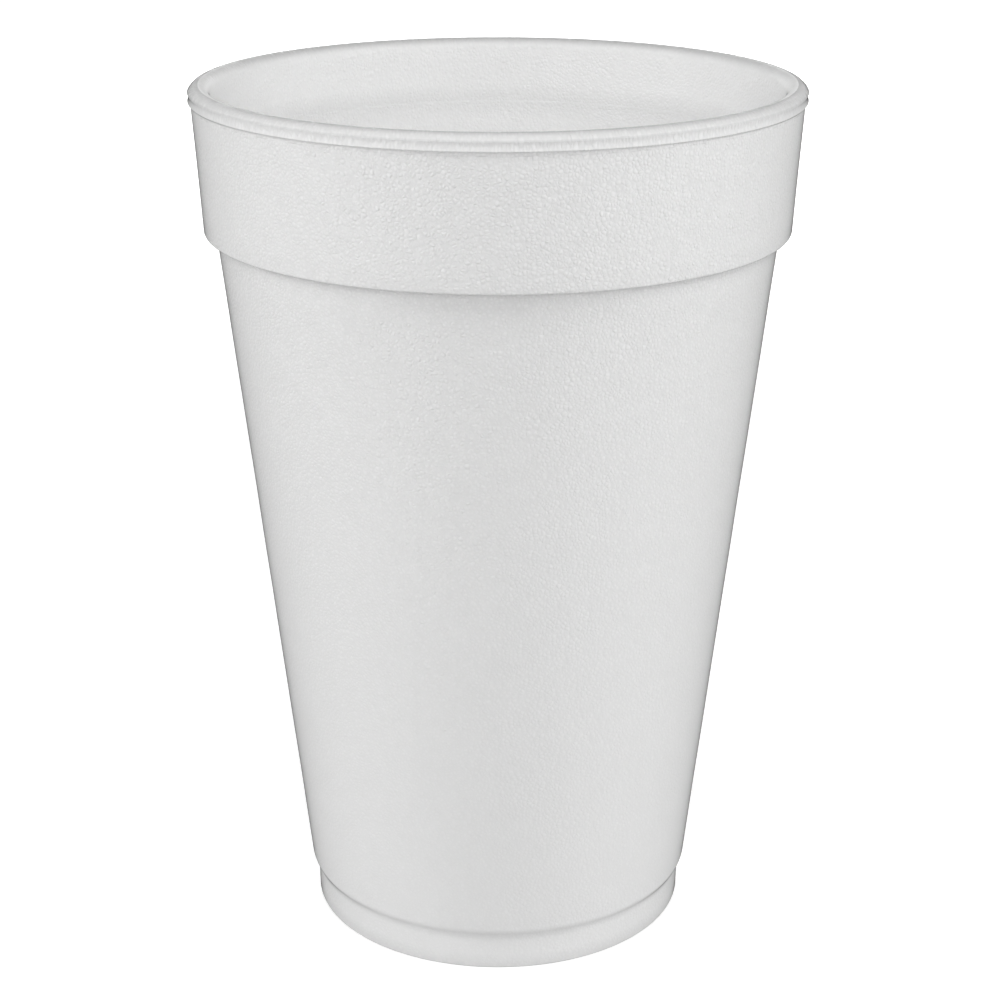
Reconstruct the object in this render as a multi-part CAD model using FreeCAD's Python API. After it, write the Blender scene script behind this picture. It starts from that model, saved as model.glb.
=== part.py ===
import FreeCAD, Part
import math
import os

os.makedirs("parts", exist_ok=True)

# A foam drinking cup, moulded in one piece from fused polystyrene beads.
# The cup's axis is Z and the table it stands on is z = 0. All sizes are millimetres.
# Radii are measured from the axis, and drops are measured down from the top of the lip.

# Overall sizes
cup_height = 149.4
rim_diameter = 103.0
foot_diameter = 66.7

# Wall and floor, the wall measured level
wall_thickness = 2.4
floor_thickness = 3.6
floor_corner_rounding = 4.0

# Foot: a ring that stands on the table, a little narrower than the body above it
foot_height = 6.5
foot_draft = 0.15
foot_edge_rounding = 0.25
foot_step_width = 0.97
foot_step_rise = 0.9
foot_step_rounding = 0.5
foot_ring_width = 3.6

# Recess under the floor, with the plain round mark of the bead filling plug
recess_depth = 3.0
recess_draft = 0.4
recess_corner_rounding = 0.8
plug_mark_diameter = 12.0
plug_mark_depth = 0.3

# Collar: the wider band under the rim, with a square ledge at its bottom
collar_drop = 24.62
collar_step = 2.02
collar_flare = 1.35
collar_edge_rounding = 0.3
collar_root_rounding = 0.25

# Rim bead: stands out past the collar, with a hollow face and the mould's parting ledge
bead_drop = 2.9
bead_overhang = 0.46
bead_underside_rise = 0.33
bead_root_rounding = 0.12
bead_face_hollow = 0.15
parting_drop = 1.2
parting_ledge_width = 0.18
parting_ledge_rise = 0.15

# Lip: a full round on top of the wall
lip_width = 3.55

# Stacking shoulder: a faint step round the inside, under the mouth
shoulder_drop = 11.6
shoulder_step = 0.2
shoulder_rise = 0.25

# Outside line, from the foot to the rim
foot_radius = foot_diameter / 2
foot_top_radius = foot_radius + foot_draft
body_bottom_radius = foot_top_radius + foot_step_width
body_bottom_z = foot_height + foot_step_rise
rim_radius = rim_diameter / 2
collar_top_radius = rim_radius - bead_overhang
collar_bottom_radius = collar_top_radius - collar_flare
body_top_radius = collar_bottom_radius - collar_step
collar_bottom_z = cup_height - collar_drop
bead_bottom_z = cup_height - bead_drop
bead_edge_z = bead_bottom_z + bead_underside_rise
parting_z = cup_height - parting_drop

# Inside line, from the lip to the floor
crest_radius = rim_radius - lip_width / 2
mouth_radius = rim_radius - lip_width
shoulder_z = cup_height - shoulder_drop
floor_z = recess_depth + floor_thickness
body_slope = (body_top_radius - body_bottom_radius) / (collar_bottom_z - body_bottom_z)


def inner_cone_radius(z):
    """Radius of the inside of the wall, which runs parallel to the body's outside."""
    return body_bottom_radius + body_slope * (z - body_bottom_z) - wall_thickness


def point(radius, z):
    """A point of the half section, which lies in the XZ plane."""
    return FreeCAD.Vector(radius, 0, z)


def line(start, end):
    return Part.LineSegment(start, end).toShape()


def arc(start, middle, end):
    return Part.Arc(start, middle, end).toShape()


def rounded_path(corners):
    """Straight runs through the corners (radius, z, rounding), each rounded by a tangent arc."""
    edges = []
    here = point(*corners[0][:2])
    for before, corner, after in zip(corners, corners[1:], corners[2:]):
        tip = point(*corner[:2])
        back = (point(*before[:2]) - tip).normalize()
        ahead = (point(*after[:2]) - tip).normalize()
        if corner[2] > 0:
            half_angle = back.getAngle(ahead) / 2
            setback = corner[2] / math.tan(half_angle)
            inward = (back + ahead).normalize()
            nearest = tip + inward * (corner[2] / math.sin(half_angle) - corner[2])
            edges.append(line(here, tip + back * setback))
            edges.append(arc(tip + back * setback, nearest, tip + ahead * setback))
            here = tip + ahead * setback
        else:
            edges.append(line(here, tip))
            here = tip
    edges.append(line(here, point(*corners[-1][:2])))
    return edges


def underside_and_outside():
    """From the axis under the floor, round the foot, and up the body and collar to the bead."""
    recess_radius = foot_radius - foot_ring_width
    plug_mark_radius = plug_mark_diameter / 2
    return rounded_path([
        (0, recess_depth + plug_mark_depth, 0),
        (plug_mark_radius, recess_depth + plug_mark_depth, 0),
        (plug_mark_radius, recess_depth, 0),
        (recess_radius - recess_draft, recess_depth, recess_corner_rounding),
        (recess_radius, 0, foot_edge_rounding),
        (foot_radius, 0, foot_edge_rounding),
        (foot_top_radius, foot_height, foot_step_rounding),
        (body_bottom_radius, body_bottom_z, foot_step_rounding),
        (body_top_radius, collar_bottom_z, collar_root_rounding),
        (collar_bottom_radius, collar_bottom_z, collar_edge_rounding),
        (collar_top_radius, bead_bottom_z, bead_root_rounding),
        (rim_radius, bead_edge_z, 0),
    ])


def bead_face():
    """The bead's hollow outer face and the small ledge of the mould's parting line above it."""
    lower = point(rim_radius, bead_edge_z)
    hollow = point(rim_radius - bead_face_hollow, (bead_edge_z + parting_z) / 2)
    upper = point(rim_radius, parting_z)
    ledge = point(rim_radius - parting_ledge_width, parting_z + parting_ledge_rise)
    return [arc(lower, hollow, upper), line(upper, ledge)]


def lip_and_inside():
    """Over the lip, down the mouth, past the shoulder, and down the wall to the floor's middle."""
    crest = point(crest_radius, cup_height)

    # outer half of the round: level at the crest, and down to the parting ledge
    ledge_radius = rim_radius - parting_ledge_width
    ledge_z = parting_z + parting_ledge_rise
    reach = ledge_radius - crest_radius
    fall = cup_height - ledge_z
    outer_rounding = (reach ** 2 + fall ** 2) / (2 * fall)
    turn = math.atan2(reach, outer_rounding - fall)
    outer_middle = point(crest_radius + outer_rounding * math.sin(turn / 2),
                         cup_height - outer_rounding * (1 - math.cos(turn / 2)))

    # inner half: level at the crest, and tangent to the mouth's slope
    shoulder_radius = inner_cone_radius(shoulder_z)
    shoulder_top_radius = shoulder_radius + shoulder_step
    shoulder_top_z = shoulder_z + shoulder_rise
    slope = math.atan2(mouth_radius - shoulder_top_radius, cup_height - shoulder_top_z)
    inner_rounding = (crest_radius - mouth_radius) * math.cos(slope) / (1 - math.sin(slope))

    def inner_point(angle):
        return point(crest_radius - inner_rounding * math.cos(angle),
                     cup_height - inner_rounding * (1 - math.sin(angle)))

    quarter_turn = math.pi / 2
    mouth_start = inner_point(slope)
    round_edges = [
        arc(point(ledge_radius, ledge_z), outer_middle, crest),
        arc(crest, inner_point((slope + quarter_turn) / 2), mouth_start),
    ]
    return round_edges + rounded_path([
        (mouth_start.x, mouth_start.z, 0),
        (shoulder_top_radius, shoulder_top_z, 0),
        (shoulder_radius, shoulder_z, 0),
        (inner_cone_radius(floor_z), floor_z, floor_corner_rounding),
        (0, floor_z, 0),
    ])


def make_cup():
    """The half section turned once round the axis."""
    edges = underside_and_outside() + bead_face() + lip_and_inside()
    edges.append(line(point(0, floor_z), point(0, recess_depth + plug_mark_depth)))
    section = Part.Face(Part.Wire(edges))
    return section.revolve(FreeCAD.Vector(0, 0, 0), FreeCAD.Vector(0, 0, 1), 360)


cup = make_cup()
cup.exportStep("parts/cup.step")
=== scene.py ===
import math

import bpy
import numpy as np
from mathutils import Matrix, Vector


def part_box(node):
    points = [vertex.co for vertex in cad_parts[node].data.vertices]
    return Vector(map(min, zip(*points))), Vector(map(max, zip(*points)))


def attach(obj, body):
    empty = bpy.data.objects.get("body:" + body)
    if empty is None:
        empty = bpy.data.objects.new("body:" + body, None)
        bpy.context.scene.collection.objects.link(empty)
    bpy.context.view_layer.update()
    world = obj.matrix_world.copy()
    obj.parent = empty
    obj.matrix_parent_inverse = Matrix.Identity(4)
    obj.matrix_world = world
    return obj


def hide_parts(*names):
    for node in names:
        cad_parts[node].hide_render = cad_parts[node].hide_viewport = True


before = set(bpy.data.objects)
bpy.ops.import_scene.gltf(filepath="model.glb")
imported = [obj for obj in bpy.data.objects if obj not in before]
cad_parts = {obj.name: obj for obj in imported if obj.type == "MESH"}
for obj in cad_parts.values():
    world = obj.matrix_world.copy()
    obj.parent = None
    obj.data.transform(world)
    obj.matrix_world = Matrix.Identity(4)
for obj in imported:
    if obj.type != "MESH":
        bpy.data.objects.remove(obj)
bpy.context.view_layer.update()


# The foam cup is one moulding. Loose polystyrene beads are blown between a polished core and a
# polished outer mould, and steam swells them until they weld into one closed skin of even wall.
# Its form is a section turned round the Z axis, given here in the order of the section's parts.

MM = 0.001
cup_low, cup_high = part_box("cup")
cup_height = cup_high.z
rim_radius = min(cup_high.x, cup_high.y, -cup_low.x, -cup_low.y)


def rounded_run(corners, longest):
    """Points (radius, height) along straight runs through the corners (radius, height, rounding,
    arc points). Each rounded corner is the arc tangent to its two runs, and each straight run is
    divided evenly into parts no longer than longest."""
    places = np.array([corner[:2] for corner in corners])
    points = [places[:1]]
    for i in range(1, len(corners)):
        here, end, arc = points[-1][-1], places[i], None
        rounding, count = corners[i][2:]
        if rounding > 0:
            back, ahead = places[i - 1] - places[i], places[i + 1] - places[i]
            back, ahead = back / np.hypot(*back), ahead / np.hypot(*ahead)
            half = math.acos(back @ ahead) / 2
            inward = (back + ahead) / np.hypot(*(back + ahead))
            centre = places[i] + inward * rounding / math.sin(half)
            first = places[i] + back * rounding / math.tan(half) - centre
            last = places[i] + ahead * rounding / math.tan(half) - centre
            share = np.linspace(0, 1, count)[:, None]
            sweep = math.pi - 2 * half
            arc = np.sin((1 - share) * sweep) * first + np.sin(share * sweep) * last
            arc = centre + arc / math.sin(sweep)
            end = arc[0]
        parts = max(1, math.ceil(np.hypot(*(end - here)) / longest))
        points.append(here + (end - here) * np.linspace(0, 1, parts + 1)[1:, None])
        if arc is not None:
            points.append(arc[1:])
    return np.concatenate(points)


# The foot is a plain ring that the cup stands on. Inside it the underside is recessed, with the
# round mark of the mould's filling plug in the middle.

foot_radius = 33.35 * MM
foot_rounding = 0.25 * MM
foot_ring_width = 3.6 * MM
foot_seam_inset = 1.2 * MM
recess_radius = foot_radius - foot_ring_width
recess_depth = 3.0 * MM
recess_draft = 0.4 * MM
recess_rounding = 0.8 * MM
plug_mark_radius = 6.0 * MM
plug_mark_height = recess_depth + 0.3 * MM
plug_mark_rounding = 0.1 * MM
pole_radius = 0.4 * MM
longest_run_underneath = 5 * MM
underside = rounded_run([
    (pole_radius, plug_mark_height, 0, 0),
    (plug_mark_radius, plug_mark_height, plug_mark_rounding, 3),
    (plug_mark_radius, recess_depth, plug_mark_rounding, 3),
    (recess_radius - recess_draft, recess_depth, recess_rounding, 5),
    (recess_radius, 0, foot_rounding, 4),
    (foot_radius - foot_seam_inset, 0, 0, 0)], longest_run_underneath)


# The body widens evenly from a small soft step over the foot up to the collar's ledge, on which
# the next cup of a nested stack rests. The collar stands out over the body and flares to the rim.
# A fine mark runs round the collar just under the rim bead, where two mould parts meet.

foot_height = 6.5 * MM
foot_draft = 0.15 * MM
foot_step_width = 0.97 * MM
foot_step_rise = 0.9 * MM
foot_step_ease = 0.3 * MM
foot_step_rounding = 2.6 * MM
foot_root_rounding = 3.1 * MM
body_foot_radius = foot_radius + foot_draft + foot_step_width
body_foot_height = foot_height + foot_step_rise

collar_drop = 24.62 * MM
collar_flare = 1.35 * MM
collar_edge_rounding = 0.5 * MM
ledge_height = cup_height - collar_drop
ledge_width = 2.02 * MM
ledge_root_rounding = 0.4 * MM

bead_drop = 2.9 * MM
bead_height = cup_height - bead_drop
bead_overhang = 0.46 * MM
bead_rise = 0.33 * MM
bead_root_rounding = 0.6 * MM
bead_edge_easing = 0.1 * MM

collar_top_radius = rim_radius - bead_overhang
collar_foot_radius = collar_top_radius - collar_flare
body_top_radius = collar_foot_radius - ledge_width
taper = (body_top_radius - body_foot_radius) / (ledge_height - body_foot_height)

mould_mark_height = bead_height - 0.45 * MM
mould_mark_width = 0.09 * MM
mould_mark_depth = 0.045 * MM
mould_mark_rings = mould_mark_width * np.array([-1.4, -0.5, 0.0, 0.5, 1.4])
longest_run = 3.6 * MM


def collar_radius(height):
    """Radius of the collar's outer face, a straight flare from its lower edge to the rim bead."""
    return collar_top_radius - collar_flare * (bead_height - height) / (bead_height - ledge_height)


outside = rounded_run([
    (foot_radius - foot_seam_inset, 0, 0, 0),
    (foot_radius, 0, foot_rounding, 6),
    (foot_radius + foot_draft, foot_height - foot_step_ease, foot_root_rounding, 9),
    (body_foot_radius + taper * foot_step_ease, body_foot_height + foot_step_ease,
     foot_step_rounding, 8),
    (body_top_radius, ledge_height, ledge_root_rounding, 5),
    (collar_foot_radius, ledge_height, collar_edge_rounding, 7),
    *((collar_radius(height), height, 0, 0) for height in mould_mark_height + mould_mark_rings),
    (collar_top_radius, bead_height, bead_root_rounding, 6),
    (rim_radius - bead_edge_easing, bead_height + bead_rise - bead_edge_easing, 0, 0)],
    longest_run)


# The rim bead is the thick edge that a lid snaps over. Its face is a little hollow, and it ends
# at the parting line, the ragged ledge where the mould opens.

bead_hollow = 0.15 * MM
bead_face_rings = 13
parting_height = cup_height - 1.2 * MM
parting_width = 0.18 * MM
parting_rise = 0.15 * MM

across = np.linspace(-1, 1, bead_face_rings)
face_bottom = bead_height + bead_rise
bead_face = np.column_stack((
    rim_radius - bead_hollow * (1 - across ** 2),
    face_bottom + (parting_height - face_bottom) * (across + 1) / 2))


# The lip is a low dome over the rim bead, rounded down to the inner wall. The inner wall has one
# fine shoulder, then follows the body's cone down to a floor with a well-rounded corner.

lip_width = 3.55 * MM
crown_rings = 13
lip_roll_rings = 15
wall = 2.4 * MM
floor_height = 6.6 * MM
floor_corner_rounding = 4.0 * MM
shoulder_height = cup_height - 11.6 * MM
shoulder_width = 0.2 * MM
shoulder_rise = 0.25 * MM
shoulder_rounding = 0.1 * MM


def inside_radius(height):
    """Radius of the inner wall: the body's outer cone carried on, less the wall."""
    return body_foot_radius + taper * (height - body_foot_height) - wall


crest_radius = rim_radius - lip_width / 2
crown_reach = crest_radius - rim_radius + parting_width
crown_fall = parting_height + parting_rise - cup_height
crown_rounding = (crown_reach ** 2 + crown_fall ** 2) / (-2 * crown_fall)
turn = np.linspace(math.atan2(-crown_reach, crown_rounding + crown_fall), 0, crown_rings)
crown = np.column_stack((crest_radius + crown_rounding * np.sin(turn),
                         cup_height - crown_rounding * (1 - np.cos(turn))))

mouth_radius = rim_radius - lip_width
shoulder_radius = inside_radius(shoulder_height)
slope = math.atan2(mouth_radius - shoulder_radius - shoulder_width,
                   cup_height - shoulder_height - shoulder_rise)
lip_roll_rounding = (crest_radius - mouth_radius) * math.cos(slope) / (1 - math.sin(slope))
turn = np.linspace(math.pi / 2, slope, lip_roll_rings)[1:]
lip_roll = np.column_stack((crest_radius - lip_roll_rounding * np.cos(turn),
                            cup_height - lip_roll_rounding * (1 - np.sin(turn))))
inside = rounded_run([
    (*lip_roll[-1], 0, 0),
    (shoulder_radius + shoulder_width, shoulder_height + shoulder_rise, shoulder_rounding, 3),
    (shoulder_radius, shoulder_height, shoulder_rounding, 3),
    (inside_radius(floor_height), floor_height, floor_corner_rounding, 9),
    (pole_radius, floor_height, 0, 0)], longest_run)[1:]


# The skin: the whole section turned round the axis. The beads leave the wall very slightly
# uneven, the parting ledge ragged, and the mould mark broken into dashes.

around = 480
section = np.concatenate((underside, outside[1:], bead_face, crown, lip_roll, inside))
rings = len(section)
ring_number = np.arange(rings)
rim_start = len(underside) + len(outside) - 1
parting_ring = rim_start + len(bead_face) - 0.5
crest = rim_start + len(bead_face) + len(crown) - 1
rim_end = crest + 1 + len(lip_roll)
angle = np.linspace(0, 2 * math.pi, around, endpoint=False)
random = np.random.default_rng(24)


def waver(angle, fewest, most, count):
    """Waviness round the cup, about between -1 and 1: a sum of sines, each with a whole number of
    waves between fewest and most, and its own phase and strength, so that it closes on itself. The
    sum is divided by 1.6 times its own root mean square."""
    waves = random.integers(fewest, most + 1, count)
    phase = random.uniform(0, 2 * math.pi, count)
    strength = random.uniform(0.5, 1, count)
    total = (strength[:, None] * np.sin(waves[:, None] * angle + phase[:, None])).sum(axis=0)
    return total / (1.6 * math.sqrt((strength ** 2).sum() / 2))


def near(value, place, width):
    """A bell curve of the value: 1 at the place, and gone about two widths away."""
    return np.exp(-((value - place) / width) ** 2)


radius, height = (np.repeat(column[:, None], around, axis=1) for column in section.T)
on_walls = (ring_number >= len(underside))[:, None]

# Three waves that drift round the cup with the height, faded out towards the foot and the rim
uneven_depth = 0.05 * MM
uneven_wave = 38 * MM
uneven_bend = 2.2
even_foot, foot_fade = 9 * MM, 12 * MM
even_rim, rim_fade = 2 * MM, 10 * MM
from_foot = np.clip((height - even_foot) / foot_fade, 0, 1)
from_rim = np.clip((cup_height - even_rim - height) / rim_fade, 0, 1)
drift = 2 * math.pi * height / uneven_wave
unevenness = sum(np.sin(drift * step + waver(angle, 3, 17, 5) * uneven_bend + start)
                 for step, start in ((0.6, 0.3), (1.3, 1.9), (2.1, 4.0))) / 3
radius -= uneven_depth * on_walls * from_foot * from_rim * (0.5 + 0.5 * unevenness)

# The parting line goes up and down, and the ledge over it is narrower in places
parting_raggedness = 0.045 * MM
ragged_width = 0.5 * MM
ledge_loss = 0.5 * parting_width
ledge_rings = 3
ledge_inset = 0.1 * MM
ragged = waver(angle, 20, 200, 40)
by_parting = near(height, parting_height, ragged_width) * (radius > crest_radius)
height += parting_raggedness * ragged * by_parting
lost = np.clip(0.5 + 0.8 * waver(angle, 12, 150, 30), 0, 1)
on_ledge = (np.abs(ring_number - parting_ring) < ledge_rings)[:, None]
radius += ledge_loss * lost * on_ledge * (radius < rim_radius - ledge_inset)

# The mould mark is a groove, there only in dashes
groove_width = 0.6 * mould_mark_width
dashes = np.clip(0.25 + 0.9 * waver(angle, 25, 160, 40), 0, 1)
in_groove = near(height, mould_mark_height, groove_width) * on_walls * (radius > crest_radius)
radius -= mould_mark_depth * dashes * in_groove

grid = np.stack((radius * np.cos(angle), radius * np.sin(angle), height), axis=-1)
poles = np.array([[0, 0, section[0, 1]], [0, 0, section[-1, 1]]])


def closed_faces(rings, around):
    """Quads between neighbouring rings, with the last column joined to the first, and a fan of
    triangles at each pole, all facing outwards."""
    ring, column = np.meshgrid(np.arange(rings - 1), np.arange(around), indexing="ij")
    following = (column + 1) % around
    quads = np.stack((ring * around + column, ring * around + following,
                      (ring + 1) * around + following, (ring + 1) * around + column), axis=-1)
    column = np.arange(around)
    following = (column + 1) % around
    first, last = rings * around, rings * around + 1
    base = (rings - 1) * around
    start_fan = np.stack((np.full(around, first), following, column), axis=-1)
    end_fan = np.stack((np.full(around, last), base + column, base + following), axis=-1)
    return quads.reshape(-1, 4).tolist() + start_fan.tolist() + end_fan.tolist()


cup_mesh = bpy.data.meshes.new("cup_skin")
cup_mesh.from_pydata(np.concatenate((grid.reshape(-1, 3), poles)), [], closed_faces(rings, around))
cup_mesh.shade_smooth()
cup = bpy.data.objects.new("cup_skin", cup_mesh)
bpy.context.scene.collection.objects.link(cup)
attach(cup, "root")
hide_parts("cup")


# Where a bead lies in the mould decides its shape. On the walls the beads are as round as they
# were loose. Over the rim bead and the lip the closing mould squeezes them, and they are drawn
# out across the rim, so steps along the section there count for less in the bead pattern. The
# steam enters the mould at the foot and presses the beads flatter there.

drawn_out = 0.5
on_rim = (ring_number >= rim_start) & (ring_number < rim_end)
steps = np.diff(section, axis=0, prepend=section[:1]) * np.where(on_rim, drawn_out, 1.0)[:, None]
path_radius, path_height = (section[0] + np.cumsum(steps, axis=0)).T
bead_space = np.stack((path_radius[:, None] * np.cos(angle), path_radius[:, None] * np.sin(angle),
                       np.repeat(path_height[:, None], around, axis=1)), axis=-1)
bead_poles = np.array([[0, 0, path_height[0]], [0, 0, path_height[-1]]])
attribute = cup_mesh.attributes.new("bead_space", "FLOAT_VECTOR", "POINT")
attribute.data.foreach_set("vector", np.concatenate((bead_space.reshape(-1, 3), bead_poles)).ravel())

foot_relief = 0.4
relief_fade = 1.5
relief = np.clip(section[:, 1] / ledge_height, 0, 1) ** relief_fade
relief = foot_relief + (1 - foot_relief) * relief
attribute = cup_mesh.attributes.new("bead_relief", "FLOAT", "POINT")
attribute.data.foreach_set("value", np.append(np.repeat(relief, around), relief[[0, -1]]))


# Painted shade and painted light, kept on the mesh and multiplied into the base colour. Painted
# shade darkens the lip's top and roll, where they face up, the parting line, the edge of the
# inner shoulder and the dashes of the mould mark's groove, and a painted contact shadow darkens
# the foot's bottom edge. Painted light makes it a touch whiter in the two hollows under the rim
# bead and over the foot, where shade falls.

lip_roll_painted_shade, lip_roll_middle, lip_roll_reach = 0.6, crest + 3, 7
parting_painted_shade, parting_reach = 0.84, 0.8
bead_root_painted_light, bead_root_ring, bead_root_reach = 1.03, rim_start - 3, 3
foot_step_painted_light, foot_step_middle, foot_step_reach = 1.03, foot_height + 0.4 * MM, 0.8 * MM
shoulder_painted_shade, foot_edge_painted_shadow, edge_reach = 0.8, 0.7, 0.2 * MM
mould_mark_painted_shade = 0.86
ring_height = section[:, 1]
below_rim = ring_number < rim_start


def marked(tone, nearness):
    """The tone where the nearness is 1, and no change where it is 0."""
    return 1 - (1 - tone) * nearness


# Painted shade along the edge of the inner shoulder
tone = marked(shoulder_painted_shade, (ring_number >= rim_end) * near(
    ring_height, shoulder_height + shoulder_rise / 2, edge_reach))
# Painted shade along the parting line
tone *= marked(parting_painted_shade, near(ring_number, parting_ring, parting_reach))
# Painted shade over the lip's top and roll, which face up
tone *= marked(lip_roll_painted_shade, near(ring_number, lip_roll_middle, lip_roll_reach))
# A painted contact shadow along the foot's bottom edge
tone *= marked(foot_edge_painted_shadow, near(ring_height, 0, edge_reach))
# Painted light on the foot step, to lift the shade there
tone *= marked(foot_step_painted_light, below_rim * near(ring_height, foot_step_middle, foot_step_reach))
# Painted light in the hollow under the rim bead, to lift the shade there
tone *= marked(bead_root_painted_light, near(ring_number, bead_root_ring, bead_root_reach))
# Painted shade in the dashes of the mould mark's groove
in_mark = below_rim * near(ring_height, mould_mark_height, mould_mark_width)
tone = tone[:, None] * marked(mould_mark_painted_shade, dashes * in_mark[:, None])
attribute = cup_mesh.attributes.new("painted_light_and_shade", "FLOAT", "POINT")
attribute.data.foreach_set("value", np.append(tone.ravel(), [1, 1]))


# The foam itself: thousands of white beads welded face to face, each a cell with its own lean,
# tone and gloss, under a thin clear skin that the hot mould leaves on them.

def shader_node(tree, kind, inputs=(), **settings):
    """A new node of the tree. Each input (name or number, value) is linked if the value is a
    socket and set if it isn't; the settings are the node's own properties."""
    made = tree.nodes.new(kind)
    for name, value in settings.items():
        setattr(made, name, value)
    for name, value in inputs:
        if isinstance(value, bpy.types.NodeSocket):
            tree.links.new(value, made.inputs[name])
        else:
            made.inputs[name].default_value = value
    return made


def maths(tree, operation, *values):
    """The result of one Math node on the values."""
    return shader_node(tree, "ShaderNodeMath", enumerate(values), operation=operation).outputs[0]


def vector_maths(tree, operation, *values):
    """The Vector Math node of the operation on the values."""
    return shader_node(tree, "ShaderNodeVectorMath", enumerate(values), operation=operation)


def scaled(tree, vector, scale):
    """The vector times the number."""
    node = vector_maths(tree, "SCALE", vector)
    tree.links.new(scale, node.inputs["Scale"])
    return node.outputs["Vector"]


def effect_group(name, inputs, outputs):
    """A node group with a Position input, the named number inputs and the named number outputs:
    returns its tree, the sockets inside that bring the inputs, and those that take the outputs."""
    tree = bpy.data.node_groups.new(name, "ShaderNodeTree")
    tree.interface.new_socket("Position", in_out="INPUT", socket_type="NodeSocketVector")
    for input_name in inputs:
        tree.interface.new_socket(input_name, in_out="INPUT", socket_type="NodeSocketFloat")
    for output_name in outputs:
        tree.interface.new_socket(output_name, in_out="OUTPUT", socket_type="NodeSocketFloat")
    return tree, tree.nodes.new("NodeGroupInput").outputs, tree.nodes.new("NodeGroupOutput").inputs


def fused_beads():
    """The welded beads: the space is cut into cells, one a bead. Seam is 1 at a cell's border and
    fades to 0 over the seam's width. A bead's face is a low dome, the square of the distance from
    its middle, that leans its own way and sinks into the seam. Tone is the bead's own chance
    number."""
    tree, given, result = effect_group(
        "fused_beads", ["Bead Size", "Dome", "Lean", "Seam Width", "Seam Depth"],
        ["Height", "Seam", "Tone"])
    place = scaled(tree, given["Position"], maths(tree, "DIVIDE", 1.0, given["Bead Size"]))
    cell = [("Vector", place), ("Scale", 1.0), ("Randomness", 1.0)]
    middle = shader_node(tree, "ShaderNodeTexVoronoi", cell, feature="F1").outputs
    border = shader_node(tree, "ShaderNodeTexVoronoi", cell, feature="DISTANCE_TO_EDGE").outputs
    seam = shader_node(tree, "ShaderNodeMapRange", [
        ("Value", border["Distance"]), ("From Max", given["Seam Width"]),
        ("To Min", 1.0), ("To Max", 0.0)], interpolation_type="SMOOTHSTEP").outputs["Result"]
    dome = maths(tree, "MULTIPLY", maths(tree, "POWER", middle["Distance"], 2.0), given["Dome"])
    aside = vector_maths(tree, "SUBTRACT", place, middle["Position"]).outputs["Vector"]
    chance = vector_maths(tree, "SUBTRACT", middle["Color"], (0.5, 0.5, 0.5)).outputs["Vector"]
    lean = vector_maths(tree, "DOT_PRODUCT", aside, chance).outputs["Value"]
    lean = maths(tree, "MULTIPLY", lean, given["Lean"])
    lean = maths(tree, "MULTIPLY", lean, maths(tree, "SUBTRACT", 1.0, seam))
    sunk = maths(tree, "MULTIPLY", seam, given["Seam Depth"])
    relief = maths(tree, "SUBTRACT", maths(tree, "SUBTRACT", lean, dome), sunk)
    bead_tone = shader_node(tree, "ShaderNodeSeparateXYZ", [(0, middle["Color"])]).outputs["Z"]
    tree.links.new(maths(tree, "MULTIPLY", relief, given["Bead Size"]), result["Height"])
    tree.links.new(seam, result["Seam"])
    tree.links.new(bead_tone, result["Tone"])
    return tree


def steam_mottle():
    """Cloudiness between 0 and 1 over patches of beads that the steam swelled more or less."""
    tree, given, result = effect_group("steam_mottle", ["Patch Size"], ["Cloud"])
    cloud = shader_node(tree, "ShaderNodeTexNoise", [
        ("Vector", given["Position"]), ("Scale", maths(tree, "DIVIDE", 1.0, given["Patch Size"])),
        ("Detail", 2.0), ("Roughness", 0.6)])
    tree.links.new(cloud.outputs[0], result["Cloud"])
    return tree


bead_cells, mottle_clouds = fused_beads(), steam_mottle()
bead_size = 0.64 * MM
seam_width = 0.4
patch_size = 3.5 * MM
tone_share, cloud_share, seam_share, mean_shade = 0.3, 0.5, 0.7, 0.05
gloss_spread = 0.16
blue_share = 0.998
shine = 0.12


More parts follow.
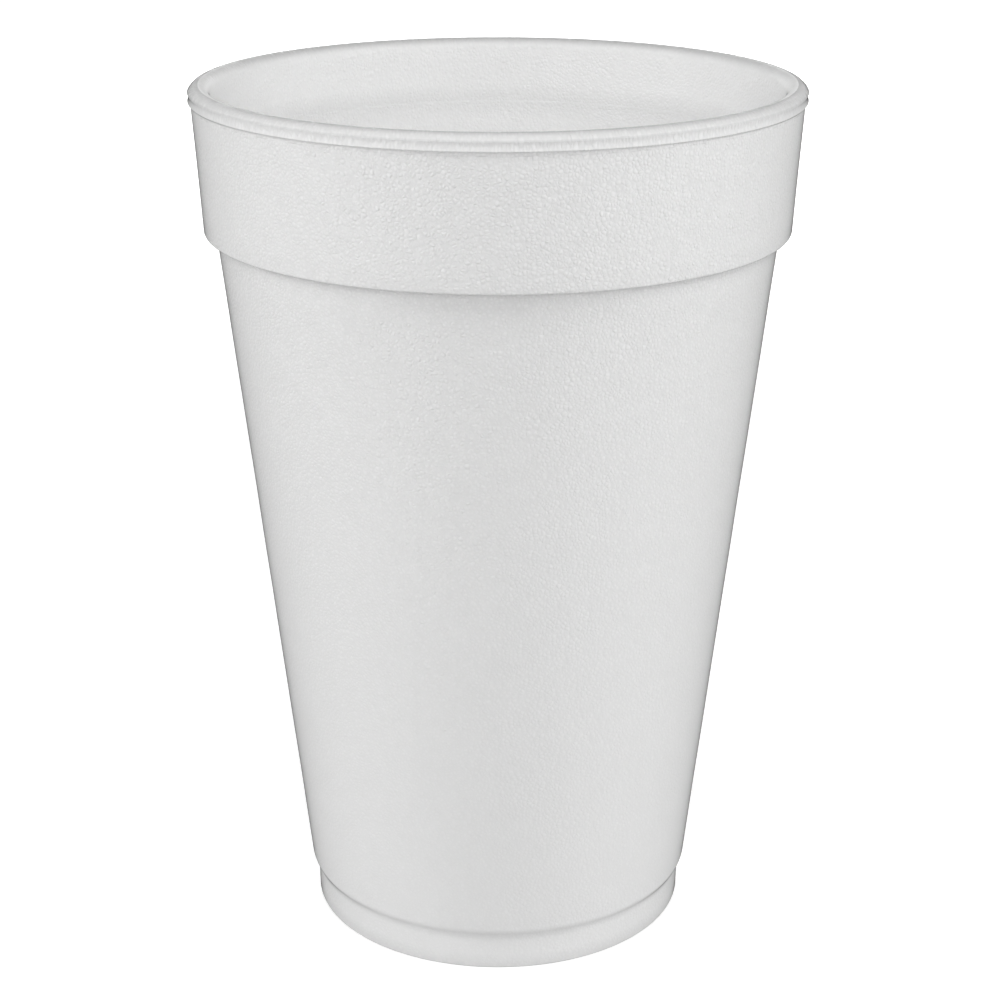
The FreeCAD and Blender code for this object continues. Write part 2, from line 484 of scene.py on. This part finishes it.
def foam_material(name, white, dome, lean, seam_depth, contrast, roughness, skin_tint):
    """Bead foam of the given white: the bead pattern gives its relief, each bead its own tone and
    gloss, and the seams and the steam's mottle shade it by up to the contrast. The clear skin over
    the beads mirrors nothing and has the tint, so light that leaves it at a flat angle, through
    more of the skin, comes out darker."""
    material = bpy.data.materials.new(name)
    material.use_nodes = True
    tree = material.node_tree
    position = shader_node(tree, "ShaderNodeAttribute", attribute_name="bead_space").outputs["Vector"]
    relief = shader_node(tree, "ShaderNodeAttribute", attribute_name="bead_relief").outputs["Fac"]
    # Painted shade and painted light from the mesh scale the base colour
    tone = shader_node(tree, "ShaderNodeAttribute", attribute_name="painted_light_and_shade").outputs["Fac"]
    beads = shader_node(tree, "ShaderNodeGroup", node_tree=bead_cells)
    for socket, value in (("Bead Size", bead_size), ("Dome", dome), ("Lean", lean),
                          ("Seam Width", seam_width), ("Seam Depth", seam_depth)):
        beads.inputs[socket].default_value = value
    tree.links.new(position, beads.inputs["Position"])
    mottle = shader_node(tree, "ShaderNodeGroup", node_tree=mottle_clouds)
    mottle.inputs["Patch Size"].default_value = patch_size
    tree.links.new(position, mottle.inputs["Position"])

    shade = maths(tree, "MULTIPLY_ADD", beads.outputs["Tone"], tone_share,
                  maths(tree, "MULTIPLY", mottle.outputs["Cloud"], cloud_share))
    shade = maths(tree, "MULTIPLY_ADD", beads.outputs["Seam"], -seam_share,
                  maths(tree, "SUBTRACT", shade, mean_shade))
    shade = maths(tree, "MULTIPLY_ADD", shade, relief, 0.5)
    dark, light = white * (1 - contrast), white * (1 + contrast)
    colour = shader_node(tree, "ShaderNodeMix", [
        ("Factor", shade), (6, (dark, dark, blue_share * dark, 1)),
        (7, (light, light, blue_share * light, 1))], data_type="RGBA").outputs[2]
    gloss = maths(tree, "MULTIPLY_ADD", beads.outputs["Tone"], gloss_spread,
                  roughness - gloss_spread / 2)
    bump = shader_node(tree, "ShaderNodeBump", [
        ("Height", maths(tree, "MULTIPLY", beads.outputs["Height"], relief)), ("Distance", 1.0)])

    principled = tree.nodes["Principled BSDF"]
    principled.inputs["Specular IOR Level"].default_value = shine
    principled.inputs["Coat Weight"].default_value = 1
    principled.inputs["Coat IOR"].default_value = 1
    principled.inputs["Coat Roughness"].default_value = 1
    principled.inputs["Coat Tint"].default_value = (skin_tint, skin_tint, skin_tint, 1)
    tree.links.new(scaled(tree, colour, tone), principled.inputs["Base Color"])
    tree.links.new(gloss, principled.inputs["Roughness"])
    tree.links.new(bump.outputs["Normal"], principled.inputs["Normal"])
    return material


for material in (
        foam_material("foam_wall", white=0.955, dome=0.11, lean=0.22, seam_depth=0.07,
                      contrast=0.04, roughness=0.5, skin_tint=0.93),
        foam_material("foam_rim", white=0.955, dome=0.10, lean=0.23, seam_depth=0.06,
                      contrast=0.04, roughness=0.5, skin_tint=0.92),
        # The inside is a whiter copy of the foam with a paler skin tint: painted light that brightens
        # the inner wall
        foam_material("foam_inside", white=0.98, dome=0.08, lean=0.2, seam_depth=0.05,
                      contrast=0.02, roughness=0.55, skin_tint=0.98)):
    cup_mesh.materials.append(material)
WALL, RIM, INSIDE = 0, 1, 2
ring_material = np.full(rings - 1, WALL)
ring_material[rim_start:crest] = RIM
ring_material[crest:] = INSIDE
face_material = np.concatenate((np.repeat(ring_material, around), np.full(around, WALL),
                                np.full(around, INSIDE)))
cup_mesh.polygons.foreach_set("material_index", face_material.astype(np.int32))


# The studio: a pale paper floor that runs out of sight, and plain soft boxes round the cup, one
# over the camera, one high above it, two at each side and one behind. The right is a little
# brighter high up, and the left lower down.

camera_data = bpy.data.cameras.new("camera")
camera_data.sensor_width = 36
camera_data.lens = 36 * 2.2484
camera_data.shift_x = 0.002
camera = bpy.data.objects.new("camera", camera_data)
camera.location = (0, -0.376565, 0.208223)
camera.rotation_euler = (math.radians(90 - 19.494), 0, 0)
bpy.context.scene.collection.objects.link(camera)
bpy.context.scene.camera = camera
bpy.context.scene.view_settings.view_transform = "Standard"

lamp_aim = np.array((0, 0, 0.09))


def soft_box(name, azimuth, elevation, distance, width, height, radiance):
    """A square-edged area lamp turned to the cup. Its place is given by the distance from the
    cup's middle, the azimuth in degrees from the camera's side and the elevation in degrees over
    the middle. Its power is the radiance that its face shows, times its area and pi."""
    data = bpy.data.lights.new(name, "AREA")
    data.shape = "RECTANGLE"
    data.size, data.size_y = width, height
    data.energy = radiance * math.pi * width * height
    lamp = bpy.data.objects.new(name, data)
    azimuth, elevation = math.radians(azimuth), math.radians(elevation)
    level = distance * math.cos(elevation)
    place = np.array((level * math.sin(azimuth), -level * math.cos(azimuth),
                      cup_height / 2 + distance * math.sin(elevation)))
    ahead = lamp_aim - place
    lamp.location = place
    lamp.rotation_euler = (math.atan2(np.hypot(*ahead[:2]), -ahead[2]), 0,
                           -math.atan2(ahead[0], ahead[1]))
    lamp.visible_camera = False
    bpy.context.scene.collection.objects.link(lamp)


for box in (("front_box", 0, 22, 1.3, 0.57, 0.5, 4.95),
            ("top_box", 0, 68, 1.3, 0.57, 0.36, 3.0),
            ("side_box", -85, 15, 1.1, 0.5, 0.5, 4.45),
            ("high_side_box", -62, 40, 1.1, 0.5, 0.5, 3.7),
            ("side_box", 85, 15, 1.1, 0.5, 0.5, 4.25),
            ("high_side_box", 62, 40, 1.1, 0.5, 0.5, 3.95),
            ("back_box", 180, 14, 1.2, 1.0, 0.5, 5.1)):
    soft_box(*box)


def white_to_camera(tree, seen, lit):
    """A number that is seen to camera, mirror and glass rays, and lit to all others."""
    path = tree.nodes.new("ShaderNodeLightPath").outputs
    direct = maths(tree, "MAXIMUM", path["Is Camera Ray"], path["Is Glossy Ray"])
    direct = maths(tree, "MAXIMUM", direct, path["Is Transmission Ray"])
    return maths(tree, "MULTIPLY_ADD", direct, seen - lit, lit)


# Near the cup the paper glows at half strength, so that its shadow can show, and far off, where
# the lamps hardly reach, at full strength
floor_reach = 3
paper_white = 0.72
near_glow, far_glow = 0.5, 1.0
glow_from, glow_to = 0.3, 1.1
floor_mesh = bpy.data.meshes.new("floor")
floor_mesh.from_pydata([(-floor_reach, -floor_reach, 0), (floor_reach, -floor_reach, 0),
                        (floor_reach, floor_reach, 0), (-floor_reach, floor_reach, 0)],
                       [], [(0, 1, 2, 3)])
floor = bpy.data.objects.new("floor", floor_mesh)
bpy.context.scene.collection.objects.link(floor)
paper = bpy.data.materials.new("paper")
paper.use_nodes = True
tree = paper.node_tree
principled = tree.nodes["Principled BSDF"]
principled.inputs["Roughness"].default_value = 0.9
principled.inputs["Specular IOR Level"].default_value = 0
principled.inputs["Base Color"].default_value = (paper_white, paper_white, paper_white, 1)
principled.inputs["Emission Color"].default_value = (1, 1, 1, 1)
place = shader_node(tree, "ShaderNodeTexCoord").outputs["Object"]
glow = shader_node(tree, "ShaderNodeMapRange", [
    ("Value", vector_maths(tree, "LENGTH", place).outputs["Value"]), ("From Min", glow_from),
    ("From Max", glow_to), ("To Min", near_glow), ("To Max", far_glow)]).outputs["Result"]
tree.links.new(maths(tree, "MULTIPLY", white_to_camera(tree, 1, 0), glow),
               principled.inputs["Emission Strength"])
floor_mesh.materials.append(paper)

world_light = 0.05
world = bpy.data.worlds.new("studio")
bpy.context.scene.world = world
world.use_nodes = True
background = world.node_tree.nodes["Background"]
background.inputs["Color"].default_value = (1, 1, 1, 1)
tree = world.node_tree
tree.links.new(white_to_camera(tree, 1, world_light), background.inputs["Strength"])
